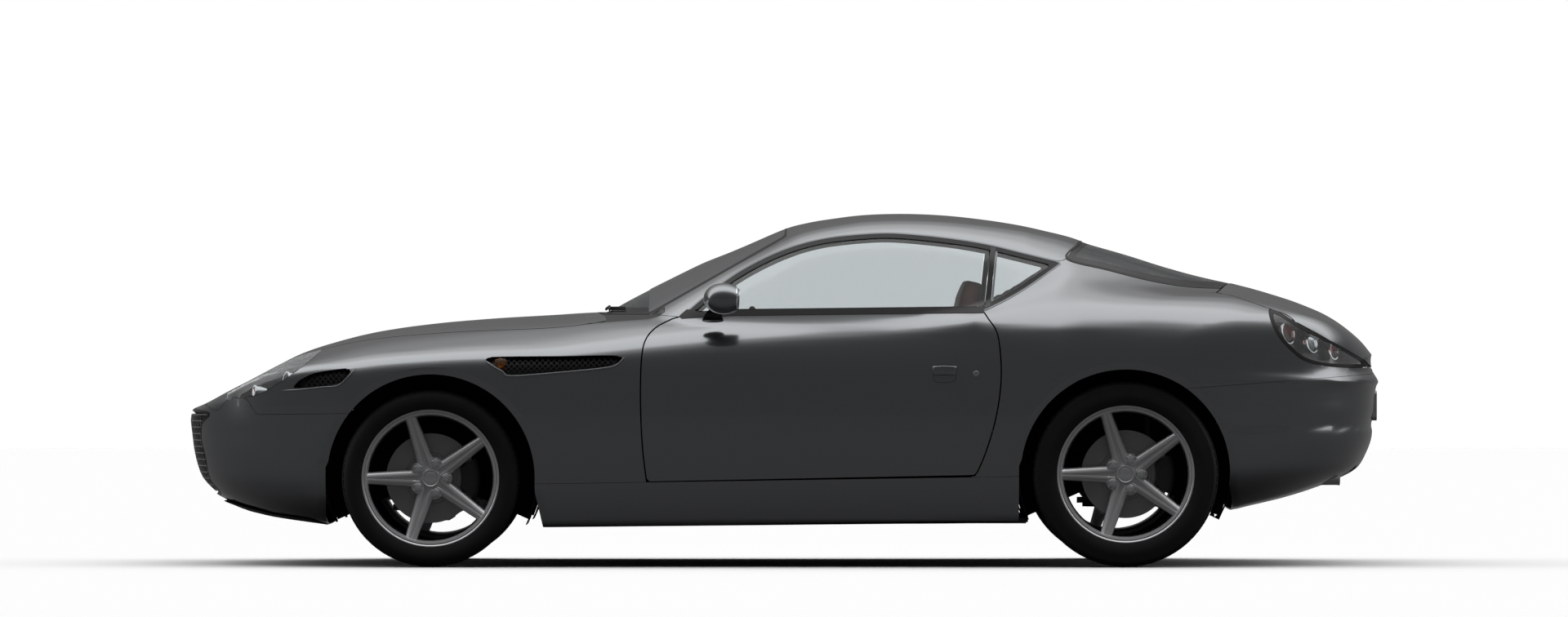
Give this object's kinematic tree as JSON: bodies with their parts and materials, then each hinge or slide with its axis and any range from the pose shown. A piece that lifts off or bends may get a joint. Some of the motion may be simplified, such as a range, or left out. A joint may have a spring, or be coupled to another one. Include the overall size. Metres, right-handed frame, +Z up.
{
  "type": "coupe car",
  "caption": "Low two-door coupe with long bonnet, double-bubble roof and short tail; doors, bonnet and boot lid open, wheels roll and steer.",
  "frame": {"origin": "on the ground under the middle of the car", "axes": "-X towards the nose, -Y towards the car's left side, +Z up"},
  "size_m": [4.4268, 1.9148, 1.3036],
  "materials": {
    "body_paint": "gloss",
    "glass": "gloss",
    "lamp_glass": "gloss",
    "red_lens": "gloss",
    "black_plastic": "matte",
    "dark_paint": "satin",
    "leather": "satin",
    "cast_metal": "satin",
    "wheel_metal": "polished",
    "steel": "brushed",
    "tyre": "matte"
  },
  "bodies": {
    "body": {"floor_pan": "dark_paint", "sills": "body_paint", "front_bumper": "body_paint", "grille": "black_plastic", "front_splitter": "black_plastic", "front_wing_left": "body_paint", "front_wing_right": "body_paint", "rear_wing_left": "body_paint", "rear_wing_right": "body_paint", "roof": "body_paint", "windscreen": "glass", "rear_screen": "glass", "quarter_windows": "glass", "rear_bumper": "body_paint", "tail_lamps": "red_lens", "headlamps": "lamp_glass", "dashboard": "black_plastic", "centre_tunnel": "leather", "seats": "leather", "bulkheads": "dark_paint", "engine_block": "cast_metal", "arch_liners": "black_plastic", "front_suspension": "cast_metal", "rear_suspension": "cast_metal", "exhaust": "steel", "cowl": "black_plastic"},
    "door_left": {"door_left": "body_paint", "door_glass_left": "glass", "mirror_left": "body_paint"},
    "door_right": {"door_right": "body_paint", "door_glass_right": "glass", "mirror_right": "body_paint"},
    "bonnet": {"bonnet": "body_paint"},
    "boot_lid": {"boot_lid": "body_paint"},
    "steering_wheel": {"steering_wheel": "leather"},
    "knuckle_left": {"knuckle_left": "cast_metal"},
    "knuckle_right": {"knuckle_right": "cast_metal"},
    "wheel_front_left": {"rim_front_left": "wheel_metal", "tyre_front_left": "tyre"},
    "wheel_front_right": {"rim_front_right": "wheel_metal", "tyre_front_right": "tyre"},
    "wheel_rear_left": {"rim_rear_left": "wheel_metal", "tyre_rear_left": "tyre"},
    "wheel_rear_right": {"rim_rear_right": "wheel_metal", "tyre_rear_right": "tyre"}
  },
  "joints": [
    {"name": "door_left_hinge", "type": "hinge", "parent": "body", "child": "door_left", "pos_m": [-0.45, -0.876, 0.56], "axis": [0, 0, -1], "range_deg": [0, 65]},
    {"name": "door_right_hinge", "type": "hinge", "parent": "body", "child": "door_right", "pos_m": [-0.45, 0.876, 0.56], "axis": [0, 0, 1], "range_deg": [0, 65]},
    {"name": "bonnet_hinge", "type": "hinge", "parent": "body", "child": "bonnet", "pos_m": [-0.76, 0, 0.906], "axis": [0, 1, 0], "range_deg": [0, 50]},
    {"name": "boot_hinge", "type": "hinge", "parent": "body", "child": "boot_lid", "pos_m": [1.75, 0, 1.002], "axis": [0, -1, 0], "range_deg": [0, 60]},
    {"name": "steer_left", "type": "hinge", "parent": "body", "child": "knuckle_left", "pos_m": [-1.3, -0.7, 0.327], "axis": [0, 0, 1], "range_deg": [-32, 32]},
    {"name": "steer_right", "type": "hinge", "parent": "body", "child": "knuckle_right", "pos_m": [-1.3, 0.7, 0.327], "axis": [0, 0, 1], "range_deg": [-32, 32]},
    {"name": "steering_wheel_turn", "type": "hinge", "parent": "body", "child": "steering_wheel", "pos_m": [-0.2, -0.345, 0.74], "axis": [0.9511, 0, 0.309], "range_deg": [-450, 450]},
    {"name": "spin_front_left", "type": "hinge", "parent": "knuckle_left", "child": "wheel_front_left", "pos_m": [-1.3, -0.768, 0.327], "axis": [0, 1, 0], "continuous": true},
    {"name": "spin_front_right", "type": "hinge", "parent": "knuckle_right", "child": "wheel_front_right", "pos_m": [-1.3, 0.768, 0.327], "axis": [0, 1, 0], "continuous": true},
    {"name": "spin_rear_left", "type": "hinge", "parent": "body", "child": "wheel_rear_left", "pos_m": [1.256, -0.778, 0.342], "axis": [0, 1, 0], "continuous": true},
    {"name": "spin_rear_right", "type": "hinge", "parent": "body", "child": "wheel_rear_right", "pos_m": [1.256, 0.778, 0.342], "axis": [0, 1, 0], "continuous": true}
  ],
  "couplings": [
    {"joint": "steer_right", "follows": "steer_left", "ratio": 1},
    {"joint": "steering_wheel_turn", "follows": "steer_left", "ratio": 14}
  ]
}
